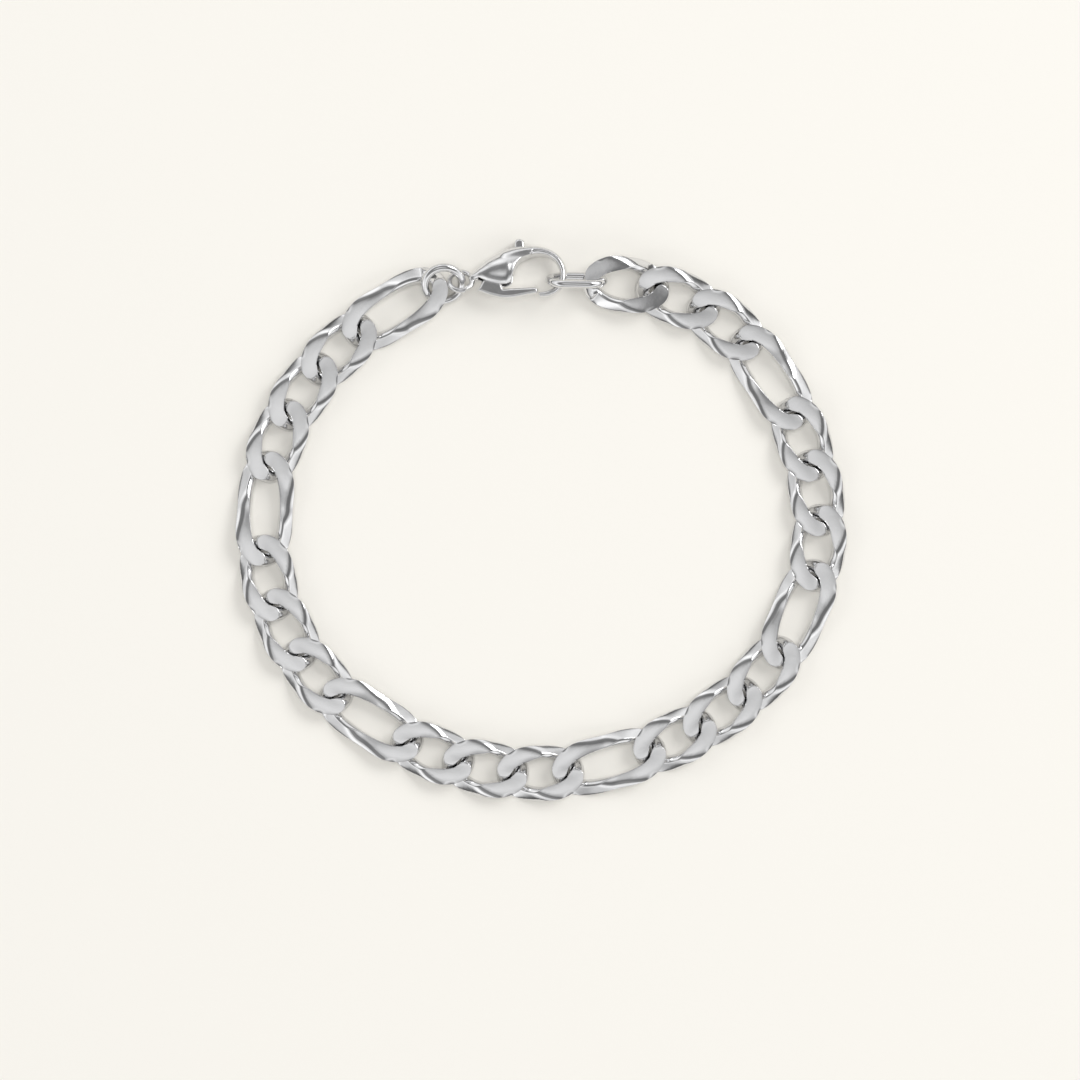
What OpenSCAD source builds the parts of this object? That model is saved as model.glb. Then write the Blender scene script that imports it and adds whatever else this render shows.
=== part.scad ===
/* [Chain] */
// Groups in the chain, each of one long link followed by short ones
groups = 6; // [4:1:8]
// Short links in each group
shorts = 3; // [1:1:4]
// Outer length of a short link
short_l = 10.5; // [10.2:0.05:11.4]
// Outer length of a long link
long_l = 13.95; // [12.5:0.1:16]
// Outer width of a link where its arms lie flat
link_w = 6.65; // [6.2:0.05:7.4]
// Width of a link's wire halfway along its arms
arm_w = 1.65; // [1.4:0.05:1.8]
// Thickness of a link's wire halfway along its arms
arm_t = 1.85; // [1.6:0.05:2]
// Width of a link's wire at its two ends, where the next link hooks in
end_w = 1.85; // [1.6:0.05:1.95]
// Thickness of a link's wire at its two ends
end_t = 1.8; // [1.5:0.05:1.9]
// Extra width where the wire is pressed flat, between an arm and an end
swell = 0.1; // [0:0.05:0.3]
// Thickness of the chain once it is filed flat above and below
file_t = 1.7; // [1.6:0.05:1.9]
// Free play between two linked wires, along the chain
play = 0.14; // [0.12:0.02:0.24]
// Least gap where one arm of a link crosses over its neighbour's
cross_gap = 0.26; // [0.24:0.02:0.32]

/* [Jump rings] */
// Wire diameter of both jump rings
ring_wire = 1; // [0.8:0.05:1.05]
// Outer diameter of the round ring at the clasp's tail
round_d = 5.5; // [5.3:0.1:6.5]
// Outer length of the oval ring in the clasp's hook
oval_l = 7.5; // [7.3:0.1:9]
// Outer height of the oval ring as it stands on edge
oval_h = 4.9; // [4.8:0.1:5]
// Free play of the rings on the links and on the clasp's eye
ring_play = 0.6; // [0.55:0.05:0.7]
// Free play of the oval ring in the clasp's hook
hook_play = 0.7; // [0.65:0.05:0.8]
// Tilt of the round ring, its outer side up
round_tilt = 32; // [30:1:36]
// Lean of the oval ring from upright, its top towards the wrist
oval_lean = 17; // [16:1:20]

/* [Clasp] */
// Length of the clasp from the middle of its eye to the top of its hook
clasp_l = 12.65; // [12:0.05:14]
// Width of the clasp from the back of the hook to its tip
clasp_w = 6.4; // [6:0.1:7]
// Thickness of the clasp's body at its fullest
clasp_t = 3; // [2.8:0.1:3.4]
// Roll of the clasp about its length, its back down
clasp_roll = 14; // [10:1:18]
// Further turn of the eye about the clasp's length
eye_turn = 18; // [17:1:22]
// Radius of the eye, to the middle of its wire
eye_r = 1.35; // [1.35:0.05:1.5]
// Wire diameter of the eye
eye_wire = 0.76; // [0.6:0.02:0.9]

/* [Lever] */
// Thickness of the lever plate
lever_t = 1; // [0.8:0.05:1.2]
// Gap between the lever and the cheeks of its slot
slot_gap = 0.1; // [0.05:0.05:0.2]
// Angle that the lever swings through to open the hook
lever_swing = 20; // [12:1:22]
// Diameter of the pivot pin
pin_d = 0.8; // [0.6:0.05:0.9]
// Length of the pivot pin
pin_l = 1.6; // [1.5:0.05:1.7]
// Radial clearance of the lever's bore on the pin
pin_fit = 0.04; // [0.02:0.01:0.08]
// Gap between the end of the gate and the tip of the hook
gate_gap = 0.12; // [0.08:0.02:0.3]

/* [Hidden] */
steel = [0.78, 0.78, 0.79];

// Stations round one link, and sides of its wire
stations = 16;
sides = 6;
// How square the ends of a link's centre line are: 2 is an ellipse
squareness = 2.6;

// Distances in mm from the middle of the loop to the row of linked wires, at
// equal steps of angle from +X, counterclockwise from above
route = [33.3, 32.8, 32.7, 32.5, 31.5, 29.8, 29.0, 30.2, 31.7, 32.1, 33.1, 33.9,
         34.2, 34.2, 33.7, 32.6, 31.4, 30.9, 30.6, 30.4, 30.8, 31.7, 32.7, 33.2];
// Angle on that route of the round ring's hold on the first link
route_start = 115.8;

// Sections of the clasp's body from its neck to its open side: place along the
// clasp and across it, half width across it, half thickness, as shares
BODY_X = 0;
BODY_Y = 1;
BODY_HALF = 2;
BODY_THICK = 3;
body_rows = [
    [0.105, 0.085, 0.070, 0.17],
    [0.175, 0.135, 0.135, 0.31],
    [0.255, 0.170, 0.240, 0.43],
    [0.345, 0.198, 0.315, 0.49],
    [0.425, 0.225, 0.350, 0.50],
    [0.482, 0.270, 0.345, 0.44],
    [0.515, 0.365, 0.255, 0.34]];
body_sides = 12;

// Sections of the hook from inside the body to its tip, in the same columns
hook_rows = [
    [0.430, 0.455, 0.130, 0.38],
    [0.520, 0.510, 0.125, 0.37],
    [0.620, 0.545, 0.112, 0.35],
    [0.730, 0.562, 0.092, 0.32],
    [0.835, 0.515, 0.078, 0.28],
    [0.918, 0.395, 0.070, 0.23],
    [0.964, 0.205, 0.066, 0.20],
    [0.964, 0.010, 0.066, 0.20],
    [0.912, -0.165, 0.066, 0.20],
    [0.830, -0.262, 0.062, 0.20],
    [0.738, -0.285, 0.052, 0.18]];
hook_sides = 10;

// Places on the lever, as shares of the clasp's length and width
pivot_at = [0.297, 0.055];
tab_back = [0.502, 0.610];
tab_tip = [0.546, 0.765];
tab_crest = [0.598, 0.790];
tab_front = [0.620, 0.615];
heel_at = [0.180, -0.180];
belly_at = [0.300, -0.275];
gate_low = [0.440, -0.315];
gate_high = [0.400, -0.170];
// Wall of the lever's hub round the pin, and its radius
hub_wall = 0.45;
hub_r = pin_d / 2 + hub_wall;
// Distance from the pivot at which the stem of the tab is full width
stem_r = 1.55;
// Radii of the lever's heel and of the end of its gate, and the gate's height
heel_r = 0.2;
gate_r = 0.3;
gate_y = -0.195;

// Slot of the lever: how far it reaches from the pivot below and beside the tab,
// as shares of the clasp's length, and its bearings with the hook shut
slot_reach = 0.29;
tab_reach = 0.5;
slot_from = -153;
slot_to = -10;
slot_spare = 3;
slot_steps = 6;

links = groups * (shorts + 1);

// Centre-line half sizes of a link
link_reach = function (long) ((long ? long_l : short_l) - end_w) / 2;
extra = link_reach(true) - link_reach(false);
arm_y = (link_w - arm_w) / 2;
pitch = function (long) (long ? long_l : short_l) - 2 * end_w - play;

// Half width and half thickness of the wire, from mid arm at 0 to the tip at 1
wire_half_w = function (u) (arm_w + (end_w - arm_w) * u + swell * 6.75 * u * u * (1 - u)) / 2;
wire_half_t = function (u) (arm_t + (end_t - arm_t) * u) / 2;

// Twist of a link's ends, from the height that two crossing wires need
cross_share = pitch(false) / 2 / link_reach(false);
cross_half = arm_y * pow(1 - pow(cross_share, squareness), 1 / squareness);
end_twist = asin((wire_half_t(cross_share) + cross_gap / 2) / cross_half) / cross_share;
// A long link twists less near its middle, so that its ends match a short link's
twist_power = ln(cross_share) / ln(pitch(true) / 2 / link_reach(true));
link_turn = function (x, long)
    -end_twist * signed_pow(x / link_reach(long), long ? twist_power : 1);

// Sizes of the rings' centre lines, and the lengths that they take up
round_r = (round_d - ring_wire) / 2;
oval_r = (oval_h - ring_wire) / 2;
oval_straight = oval_l - oval_h;
round_pitch = round_d - 2 * ring_wire - ring_play;
oval_pitch = oval_l - 2 * ring_wire - (ring_play + hook_play) / 2;
hook_inside = (hook_rows[6][BODY_X]) * clasp_l - hook_rows[6][BODY_HALF] * clasp_w;
eye_inside = eye_r - eye_wire / 2;
clasp_pitch = hook_inside + eye_inside - (ring_play + hook_play) / 2;

is_long = function (i) i % (shorts + 1) == 0;
chords = concat([for (i = [0 : links - 1]) pitch(is_long(i))],
                [oval_pitch, clasp_pitch, round_pitch]);

function wrap(i, n) = (i % n + n) % n;

// Radius of the route at an angle, as a smooth curve through its points
function route_radius(angle) =
    let (n = len(route), s = angle * n / 360, i = floor(s), f = s - i)
    let (a = route[wrap(i - 1, n)], b = route[wrap(i, n)])
    let (c = route[wrap(i + 1, n)], d = route[wrap(i + 2, n)])
    b + f / 2 * (c - a + f * (2 * a - 5 * b + 4 * c - d + f * (3 * (b - c) + d - a)));

function route_at(angle, k) = k * route_radius(angle) * [cos(angle), sin(angle)];

// The angle on the route that lies one chord on from another, by halving
function next_angle(from, chord, k, low, high, turns) =
    let (mid = (low + high) / 2)
    turns == 0 ? mid
    : norm(route_at(mid, k) - route_at(from, k)) > chord
        ? next_angle(from, chord, k, low, mid, turns - 1)
        : next_angle(from, chord, k, mid, high, turns - 1);

// Angles of all the holds between pieces, one chord after the other
function walk(k, i, angle) =
    i == len(chords) ? [angle]
    : concat([angle],
             walk(k, i + 1, next_angle(angle, chords[i], k, angle, angle + 60, 32)));

// The scale of the route at which the pieces just close the loop
function closed_scale(low, high, turns) =
    let (mid = (low + high) / 2)
    turns == 0 ? mid
    : walk(mid, 0, route_start)[len(chords)] > route_start + 360
        ? closed_scale(mid, high, turns - 1)
        : closed_scale(low, mid, turns - 1);

function sum(list, i = 0) = i == len(list) ? 0 : list[i] + sum(list, i + 1);
rough_scale = sum(chords) / (2 * PI * sum(route) / len(route));
route_scale = closed_scale(rough_scale * 0.8, rough_scale * 1.2, 30);
loose = [for (angle = walk(route_scale, 0, route_start)) route_at(angle, route_scale)];

function heading(i) = let (d = loose[i + 1] - loose[i]) atan2(d.y, d.x);

function unit(v) = v / norm(v);
function signed_pow(v, p) = sign(v) * pow(abs(v), p);
function turned(p, angle) =
    [p.x * cos(angle) - p.y * sin(angle), p.x * sin(angle) + p.y * cos(angle)];

// One ring of points round a centre, half a wide along u and half b along v
function section(c, u, v, a, b, n) =
    [for (k = [0 : n - 1]) c + a * cos(360 * k / n) * u + b * sin(360 * k / n) * v];

// Centre line of a link at an angle round it: its start end lifts its wrist side
function link_line(t, long) =
    let (short = link_reach(false) * signed_pow(cos(t), 2 / squareness))
    let (x = short + (long ? extra * sign(cos(t)) : 0))
    let (w = arm_y * signed_pow(sin(t), 2 / squareness), turn = link_turn(x, long))
    [x, w * cos(turn), w * sin(turn)];

function link_ring(t, long) =
    let (c = link_line(t, long), turn = link_turn(c.x, long))
    let (along = unit(link_line(t + 1, long) - link_line(t - 1, long)))
    let (out = unit(cross(along, [0, -sin(turn), cos(turn)])))
    let (u = abs(c.x) / link_reach(long))
    section(c, out, cross(out, along), wire_half_w(u), wire_half_t(u), sides);

function flat(lists) = [for (list = lists) for (item = list) item];

// Faces between one ring of points and the next
function band(a, b, n) =
    flat([for (k = [0 : n - 1]) let (m = (k + 1) % n)
        [[a * n + k, b * n + m, b * n + k], [a * n + k, a * n + m, b * n + m]]]);

// A closed loop of rings of points
module loop(rings) {
    n = len(rings[0]);
    polyhedron(flat(rings),
               flat([for (i = [0 : len(rings) - 1]) band(i, (i + 1) % len(rings), n)]));
}

// A bar through rings of points, closed at both ends
module bar(rings) {
    n = len(rings[0]);
    last = (len(rings) - 1) * n;
    polyhedron(flat(rings), concat(
        flat([for (i = [0 : len(rings) - 2]) band(i, i + 1, n)]),
        [[for (k = [n - 1 : -1 : 0]) k], [for (k = [0 : n - 1]) last + k]]));
}

// One filed link, resting on its lower flat
module link(long) {
    size = long ? long_l : short_l;
    intersection() {
        translate([0, 0, file_t / 2])
            loop([for (i = [0 : stations - 1]) link_ring(360 * i / stations, long)]);
        translate([-size, -link_w, 0]) cube([2 * size, 2 * link_w, file_t]);
    }
}

// Middle of all that is seen from above: the links' arms, and the lever's tab
link_dots = function (i)
    [for (k = [0 : stations - 1], p = link_ring(360 * k / stations, is_long(i)))
        (loose[i] + loose[i + 1]) / 2 + turned(p, heading(i))];
dots = [for (i = [0 : links - 1], p = link_dots(i)) p];
clasp_turn = heading(links + 1) + 180;
tab_dot = function (share)
    loose[links + 2] + turned([eye_inside - ring_play / 2 + share.x * clasp_l,
        share.y * clasp_w * cos(clasp_roll) + lever_t / 2 * sin(clasp_roll)], clasp_turn);
centre = [
    (min([for (p = dots) p.x]) + max([for (p = dots) p.x])) / 2,
    (min([for (p = dots) p.y]) + max(tab_dot(tab_tip).y, tab_dot(tab_crest).y)) / 2];
holds = [for (p = loose) p - centre];
function middle(i) = (holds[i] + holds[i + 1]) / 2;

// Height of the oval ring's middle, and the lift that brings the last link's free
// tip up into it, of which its other end hands a share on to the link before
oval_high = oval_r * cos(oval_lean) + ring_wire / 2;
tip_drop = 0.14;
last_lift = oval_high - tip_drop - file_t / 2;

// Height of the first link's free tip, which lies over the round ring's low side
first_high = 1.25 * ring_wire;

// Each link's upward pitch about the edge of its lower flat farthest from its free
// tip: the first link leaves the surface one way, and the last two the other
edge_share = 0.35;
rest_edge = function (long) link_reach(long) + end_w * edge_share;
first_pitch = asin((first_high - file_t / 2) / (link_reach(true) + rest_edge(true)));
last_pitch = asin(last_lift / (link_reach(false) + rest_edge(false)));
near_share = 0.85;
near_lift = near_share * (rest_edge(false) - pitch(false) / 2) * sin(last_pitch);
next_pitch = asin(near_lift / (rest_edge(false) + pitch(false) / 2));
link_pitch = function (i)
    i == 0 ? -first_pitch : i == links - 1 ? last_pitch : i == links - 2 ? next_pitch : 0;

module chain_link(i) {
    long = is_long(i);
    edge = rest_edge(long) * (link_pitch(i) < 0 ? -1 : 1);
    color(steel) translate(middle(i)) rotate(heading(i))
        translate([-edge, 0, 0]) rotate([0, -link_pitch(i), 0]) translate([edge, 0, 0])
        link(long);
}

module round_ring() {
    i = links + 2;
    high = round_r * sin(round_tilt) + ring_wire / 2;
    color(steel) translate(concat(middle(i), [high])) rotate(heading(i))
        rotate([-round_tilt, 0, 0])
        rotate_extrude($fn = 48) translate([round_r, 0]) circle(d = ring_wire, $fn = 24);
}

module oval_ring() {
    i = links;
    color(steel) translate(concat(middle(i), [oval_high])) rotate(heading(i))
        translate([(hook_play - ring_play) / 4, 0, 0])
        rotate([90 - oval_lean, 0, 0]) for (side = [0, 180]) rotate(side) {
            translate([oval_straight / 2, 0, 0]) rotate(-90)
                rotate_extrude(angle = 180, $fn = 48)
                translate([oval_r, 0]) circle(d = ring_wire, $fn = 24);
            translate([-oval_straight / 2, oval_r, 0]) rotate([0, 90, 0])
                cylinder(h = oval_straight, d = ring_wire, $fn = 24);
        }
}

function clasp_point(share) = [share.x * clasp_l, share.y * clasp_w];

// A point of the clasp's tables in its own flat frame
function row_centre(row) = [row[BODY_X] * clasp_l, row[BODY_Y] * clasp_w, 0];

function body_ring(row) =
    section(row_centre(row), [0, -1, 0], [0, 0, 1],
            row[BODY_HALF] * clasp_w, row[BODY_THICK] * clasp_t, body_sides);

function hook_ring(i) =
    let (n = len(hook_rows), row = hook_rows[i])
    let (before = row_centre(hook_rows[max(i - 1, 0)]))
    let (after = row_centre(hook_rows[min(i + 1, n - 1)]))
    let (along = unit(after - before))
    section(row_centre(row), [along.y, -along.x, 0], [0, 0, 1],
            row[BODY_HALF] * clasp_w, row[BODY_THICK] * clasp_t, hook_sides);

// Places a clasp piece from its own frame, eye at the origin and hook along +X
module at_clasp() {
    row = body_rows[4];
    low = norm([row[BODY_THICK] * clasp_t * cos(clasp_roll),
                row[BODY_HALF] * clasp_w * sin(clasp_roll)]);
    high = low + row_centre(row).y * sin(clasp_roll);
    translate(concat(holds[links + 2], [high])) rotate(clasp_turn)
        rotate([-clasp_roll, 0, 0]) translate([eye_inside - ring_play / 2, 0, 0]) children();
}

pivot = clasp_point(pivot_at);
tip_row = hook_rows[len(hook_rows) - 1];
gate_end = [row_centre(tip_row).x - gate_gap - gate_r, gate_y * clasp_w];

function bearing(share) = let (d = clasp_point(share) - pivot) atan2(d.y, d.x);

function from_pivot(r, angle) = pivot + r * [cos(angle), sin(angle)];

// A wedge of the slot, from the pivot outwards between two bearings
module slot_wedge(from, to, share) {
    step = (to - from) / slot_steps;
    linear_extrude(lever_t + 2 * slot_gap)
        polygon(concat([pivot], [for (k = [0 : slot_steps])
            from_pivot(share * clasp_l, from + k * step)]));
}

// All the room that the lever needs from shut to open
module slot() {
    translate([0, 0, -lever_t / 2 - slot_gap]) {
        translate(pivot) cylinder(r = stem_r + slot_gap, h = lever_t + 2 * slot_gap, $fn = 48);
        slot_wedge(bearing(tab_front) - slot_spare,
                   bearing(tab_back) + lever_swing + slot_spare, tab_reach);
        slot_wedge(slot_from, slot_to + lever_swing, slot_reach);
    }
}

module clasp_body() {
    color(steel) at_clasp() difference() {
        union() {
            bar([for (row = body_rows) body_ring(row)]);
            bar([for (i = [0 : len(hook_rows) - 1]) hook_ring(i)]);
            rotate([-eye_turn, 0, 0]) rotate_extrude($fn = 48)
                translate([eye_r, 0]) circle(d = eye_wire, $fn = 24);
        }
        slot();
        translate(concat(pivot, [-pin_l / 2])) cylinder(d = pin_d, h = pin_l, $fn = 48);
    }
}

module clasp_pin() {
    color(steel) at_clasp()
        translate(concat(pivot, [-pin_l / 2])) cylinder(d = pin_d, h = pin_l, $fn = 48);
}

module lever_plate() {
    translate(pivot) cylinder(r = hub_r, h = lever_t, $fn = 48);
    linear_extrude(lever_t) polygon([
        from_pivot(hub_r, bearing(tab_back) + 90), from_pivot(stem_r, bearing(tab_back)),
        clasp_point(tab_back), clasp_point(tab_tip), clasp_point(tab_crest),
        clasp_point(tab_front), from_pivot(stem_r, bearing(tab_front)),
        from_pivot(hub_r, bearing(tab_front) - 90)]);
    linear_extrude(lever_t) polygon([
        from_pivot(hub_r, bearing(heel_at) - 90), clasp_point(heel_at) + [-heel_r, 0],
        clasp_point(heel_at) + [0, -heel_r], clasp_point(belly_at),
        clasp_point(gate_low), gate_end + [0, -gate_r], gate_end + [0, gate_r],
        clasp_point(gate_high), from_pivot(hub_r, bearing(gate_high) + 90)]);
    translate(gate_end) cylinder(r = gate_r, h = lever_t, $fn = 24);
}

module clasp_lever() {
    color(steel) at_clasp() translate([0, 0, -lever_t / 2]) difference() {
        union() lever_plate();
        translate(concat(pivot, [-lever_t]))
            cylinder(d = pin_d + 2 * pin_fit, h = 3 * lever_t, $fn = 48);
    }
}

function link_name(i) = str("link_", i < 9 ? "0" : "", i + 1);

for (i = [0 : links - 1])
    chain_link(i);
round_ring();
oval_ring();
clasp_body();
clasp_pin();
clasp_lever();
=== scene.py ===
"""Looks of a link bracelet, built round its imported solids.

Sizes in the classes are in millimetres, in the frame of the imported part, and become
metres where a mesh is made. Heights are above the surface that the bracelet lies on.
"""

import logging
import math
from collections.abc import Callable, Sequence
from dataclasses import dataclass, field
from enum import Enum

import bpy
import numpy as np
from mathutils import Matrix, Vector


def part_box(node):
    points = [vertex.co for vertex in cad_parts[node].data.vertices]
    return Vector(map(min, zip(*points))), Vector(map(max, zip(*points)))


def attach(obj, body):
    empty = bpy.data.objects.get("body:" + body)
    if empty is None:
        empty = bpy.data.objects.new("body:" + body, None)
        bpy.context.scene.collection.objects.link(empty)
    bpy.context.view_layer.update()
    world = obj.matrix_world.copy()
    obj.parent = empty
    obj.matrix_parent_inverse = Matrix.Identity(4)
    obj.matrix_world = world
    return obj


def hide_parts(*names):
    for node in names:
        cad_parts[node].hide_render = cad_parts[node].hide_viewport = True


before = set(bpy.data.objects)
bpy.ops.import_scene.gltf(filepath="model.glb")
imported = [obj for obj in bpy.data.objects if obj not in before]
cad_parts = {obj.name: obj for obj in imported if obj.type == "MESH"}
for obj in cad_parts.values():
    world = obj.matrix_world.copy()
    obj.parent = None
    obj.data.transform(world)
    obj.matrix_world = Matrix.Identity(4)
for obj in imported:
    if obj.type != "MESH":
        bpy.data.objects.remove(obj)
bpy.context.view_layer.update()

LOG = logging.getLogger("bracelet")
MM = 0.001
Array = np.ndarray
Values = Array | float
Share = tuple[float, float]
Corner = tuple[float, float, float]
Rows = tuple[tuple[float, ...], ...]
Mesh = tuple[Array, Array]
Solid = Callable[[Array], Array]
Material = bpy.types.Material
Node = bpy.types.Node
Tree = bpy.types.NodeTree


class LinkKind(Enum):
    """The two kinds of link in the chain."""

    SHORT = "short"
    LONG = "long"


class Slot(Enum):
    """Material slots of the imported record."""

    LINK = "link_steel"
    RING = "ring_steel"
    CLASP = "clasp_steel"
    LEVER = "lever_steel"


class Body(Enum):
    """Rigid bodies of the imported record."""

    CHAIN = "bracelet"
    LEVER = "lever"


class Axis(Enum):
    """Axes of a frame, by their number."""

    X = 0
    Y = 1
    Z = 2


# Small functions on arrays


def signed_power(value: Array, power: float) -> Array:
    """Powers the size of each value and keeps its sign."""
    return np.sign(value) * np.abs(value) ** power


def smooth_min(a: Array, b: Values, k: float) -> Array:
    """Takes the lesser of two values, rounded over where they are within k.

    Args:
        a: First values.
        b: Second values.
        k: Width of the rounding, in the unit of the values.

    Returns:
        The rounded lesser values.
    """
    near = np.maximum(k - np.abs(a - b), 0.0) / k
    return np.minimum(a, b) - near * near * k / 4


def smooth_max(a: Array, b: Values, k: float) -> Array:
    """Takes the greater of two values, rounded over where they are within k."""
    return -smooth_min(-a, -b, k)


def cubic(a: Values, b: Values, c: Values, d: Values, f: Values) -> Values:
    """Smooth way from b to c at the share f, with a before them and d after them."""
    return b + f / 2 * (c - a + f * (2 * a - 5 * b + 4 * c - d + f * (3 * (b - c) + d - a)))


def spline(rows: Array, steps: int) -> Array:
    """Draws a smooth curve through rows of numbers.

    Args:
        rows: One row for each point, any number of columns.
        steps: Steps between one row and the next.

    Returns:
        Rows of the dense curve, both ends included.
    """
    padded = np.vstack([2 * rows[0] - rows[1], rows, 2 * rows[-1] - rows[-2]])
    near = (padded[i:len(padded) - 3 + i, None, :] for i in range(4))
    dense = cubic(*near, np.linspace(0, 1, steps, endpoint=False)[None, :, None])
    return np.vstack([dense.reshape(-1, rows.shape[1]), rows[-1]])


def turned(points: Array, axis: Axis, angle: float) -> Array:
    """Turns points about an axis.

    Args:
        points: The points, one row each.
        axis: The axis.
        angle: The angle, in degrees.

    Returns:
        The turned points.
    """
    one, two = (axis.value + 1) % 3, (axis.value + 2) % 3
    matrix = np.eye(3)
    matrix[one, one] = matrix[two, two] = math.cos(math.radians(angle))
    matrix[two, one] = math.sin(math.radians(angle))
    matrix[one, two] = -matrix[two, one]
    return points @ matrix.T


def polygon_distance(x: Array, y: Array, corners: Array) -> Array:
    """Distance of points in a plane from a polygon's outline, below zero inside it.

    Args:
        x: First coordinates of the points.
        y: Second coordinates, of the same shape.
        corners: The polygon's corners, one row each.

    Returns:
        The signed distances.
    """
    best = np.full(x.shape, np.inf)
    inside = np.zeros(x.shape, bool)
    for (ax, ay), (bx, by) in zip(corners, np.roll(corners, -1, axis=0)):
        ex, ey = bx - ax, by - ay
        px, py = x - ax, y - ay
        share = np.clip((px * ex + py * ey) / (ex * ex + ey * ey), 0, 1)
        best = np.minimum(best, np.hypot(px - share * ex, py - share * ey))
        if ey:
            inside ^= ((ay > y) != (by > y)) & (px < py * ex / ey)
    return np.where(inside, -best, best)


# Meshes


def ring_faces(rings: int, sides: int) -> Array:
    """Quads of a closed loop of closed rings.

    Args:
        rings: Number of rings.
        sides: Points in each ring.

    Returns:
        Corner numbers, four to a row, facing outwards.
    """
    i = np.repeat(np.arange(rings), sides)
    k = np.tile(np.arange(sides), rings)
    j, m = (i + 1) % rings, (k + 1) % sides
    return np.stack([i * sides + k, j * sides + k, j * sides + m, i * sides + m], axis=1)


def add_piece(name: str, mesh: Mesh, material: Material, node: str,
              body: Body = Body.CHAIN) -> None:
    """Adds a smooth piece that stands for one solid.

    Args:
        name: Name of the piece.
        mesh: Its points in millimetres, and the corner numbers of its faces.
        material: Its material.
        node: The solid that it replaces.
        body: The rigid body that it rides on.
    """
    points, faces = mesh
    data = bpy.data.meshes.new(name)
    data.from_pydata((points * MM).tolist(), [], faces.tolist())
    data.validate()
    data.polygons.foreach_set("use_smooth", [True] * len(data.polygons))
    data.update()
    data.materials.append(material)
    piece = bpy.data.objects.new(name, data)
    bpy.context.scene.collection.objects.link(piece)
    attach(piece, body.value)
    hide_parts(node)
    LOG.info("%s: %d faces, on body %s", name, len(data.polygons), body.value)


@dataclass(frozen=True)
class SurfaceNet:
    """Turns a function of space, below zero inside a solid, into a closed mesh.

    Attributes:
        low: Lowest corner of the space looked at.
        high: Highest corner.
        step: Size of a cell.
        pulls: Times that the points are pulled onto the surface.
    """

    low: Corner
    high: Corner
    step: float
    pulls: int = 3

    # Parts of a step in one nudge, and the least squared slope and move that count
    NUDGE_PARTS = 20
    LEAST_SLOPE = 0.05
    LEAST_MOVE = 1e-9

    def surface(self, solid: Solid) -> Mesh:
        """Finds the surface of a solid.

        Args:
            solid: The function, which takes places with X, Y and Z first.

        Returns:
            Points, and quads that face outwards.
        """
        axes = [np.arange(a, b + self.step, self.step) for a, b in zip(self.low, self.high)]
        value = solid(np.stack(np.meshgrid(*axes, indexing="ij")))
        shape = np.array(value.shape) - 1
        total = np.zeros((*shape, 3))
        count = np.zeros(shape)
        corners = [(i, j, k) for i in (0, 1) for j in (0, 1) for k in (0, 1)]
        for a in corners:
            for axis in range(3):
                if a[axis]:
                    continue
                b = list(a)
                b[axis] = 1
                va, vb = self._shifted(value, a), self._shifted(value, b)
                crossed = (va < 0) != (vb < 0)
                share = np.where(crossed, va / np.where(crossed, va - vb, 1), 0)
                for c in range(3):
                    place = share if c == axis else a[c]
                    total[..., c] += np.where(crossed, place, 0)
                count += crossed
        used = count > 0
        number = np.full(shape, -1)
        number[used] = np.arange(used.sum())
        cells = np.argwhere(used)
        points = (cells + total[used] / count[used][:, None]) * self.step + self.low
        return self._pulled(points, solid), self._quads(value, number)

    @staticmethod
    def _shifted(value: Array, corner: Sequence[int]) -> Array:
        """Values at one corner of every cell."""
        return value[tuple(slice(c, n - 1 + c) for c, n in zip(corner, value.shape))]

    @staticmethod
    def _quads(value: Array, number: Array) -> Array:
        """Joins the points of the four cells round every grid edge that crosses the surface.

        Args:
            value: The solid's function on the grid.
            number: Number of each cell's point.

        Returns:
            Point numbers, four to a row.
        """
        faces = []
        inside = value < 0
        for axis in range(3):
            one, two = (axis + 1) % 3, (axis + 2) % 3
            start = [slice(1, -1)] * 3
            start[axis] = slice(0, -1)
            end = list(start)
            end[axis] = slice(1, None)
            a, b = inside[tuple(start)], inside[tuple(end)]
            base = [slice(1, None)] * 3
            base[axis] = slice(None)
            cell = []
            for da, db in ((0, 0), (1, 0), (1, 1), (0, 1)):
                part = list(base)
                part[one] = slice(1 - da, number.shape[one] - da)
                part[two] = slice(1 - db, number.shape[two] - db)
                cell.append(number[tuple(part)])
            quads = np.stack(cell, axis=-1)
            faces += [quads[a & ~b], quads[~a & b][:, ::-1]]
        return np.vstack(faces)

    def _pulled(self, points: Array, solid: Solid) -> Array:
        """Moves points along the slope until they lie on the surface.

        Args:
            points: The points, one row each.
            solid: The solid's function.

        Returns:
            The moved points.
        """
        nudge = self.step / self.NUDGE_PARTS
        for _ in range(self.pulls):
            slope = np.stack([solid((points + shift).T) - solid((points - shift).T)
                              for shift in nudge * np.eye(3)], axis=1) / (2 * nudge)
            size = np.maximum((slope ** 2).sum(1), self.LEAST_SLOPE)
            move = (solid(points.T) / size)[:, None] * slope
            length = np.linalg.norm(move, axis=1, keepdims=True)
            share = self.step / 2 / np.maximum(length, self.LEAST_MOVE)
            points = points - move * np.minimum(1, share)
        return points


# Finishes


def feed(tree: Tree, node: Node, inputs: dict[str, object]) -> Node:
    """Sets a node's inputs to values, or leads the outputs of other nodes into them.

    Args:
        tree: Node tree that holds the node.
        node: The node.
        inputs: A value or an output for each named input.

    Returns:
        The same node.
    """
    for name, value in inputs.items():
        if isinstance(value, bpy.types.NodeSocket):
            tree.links.new(value, node.inputs[name])
        else:
            node.inputs[name].default_value = value
    return node


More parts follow.
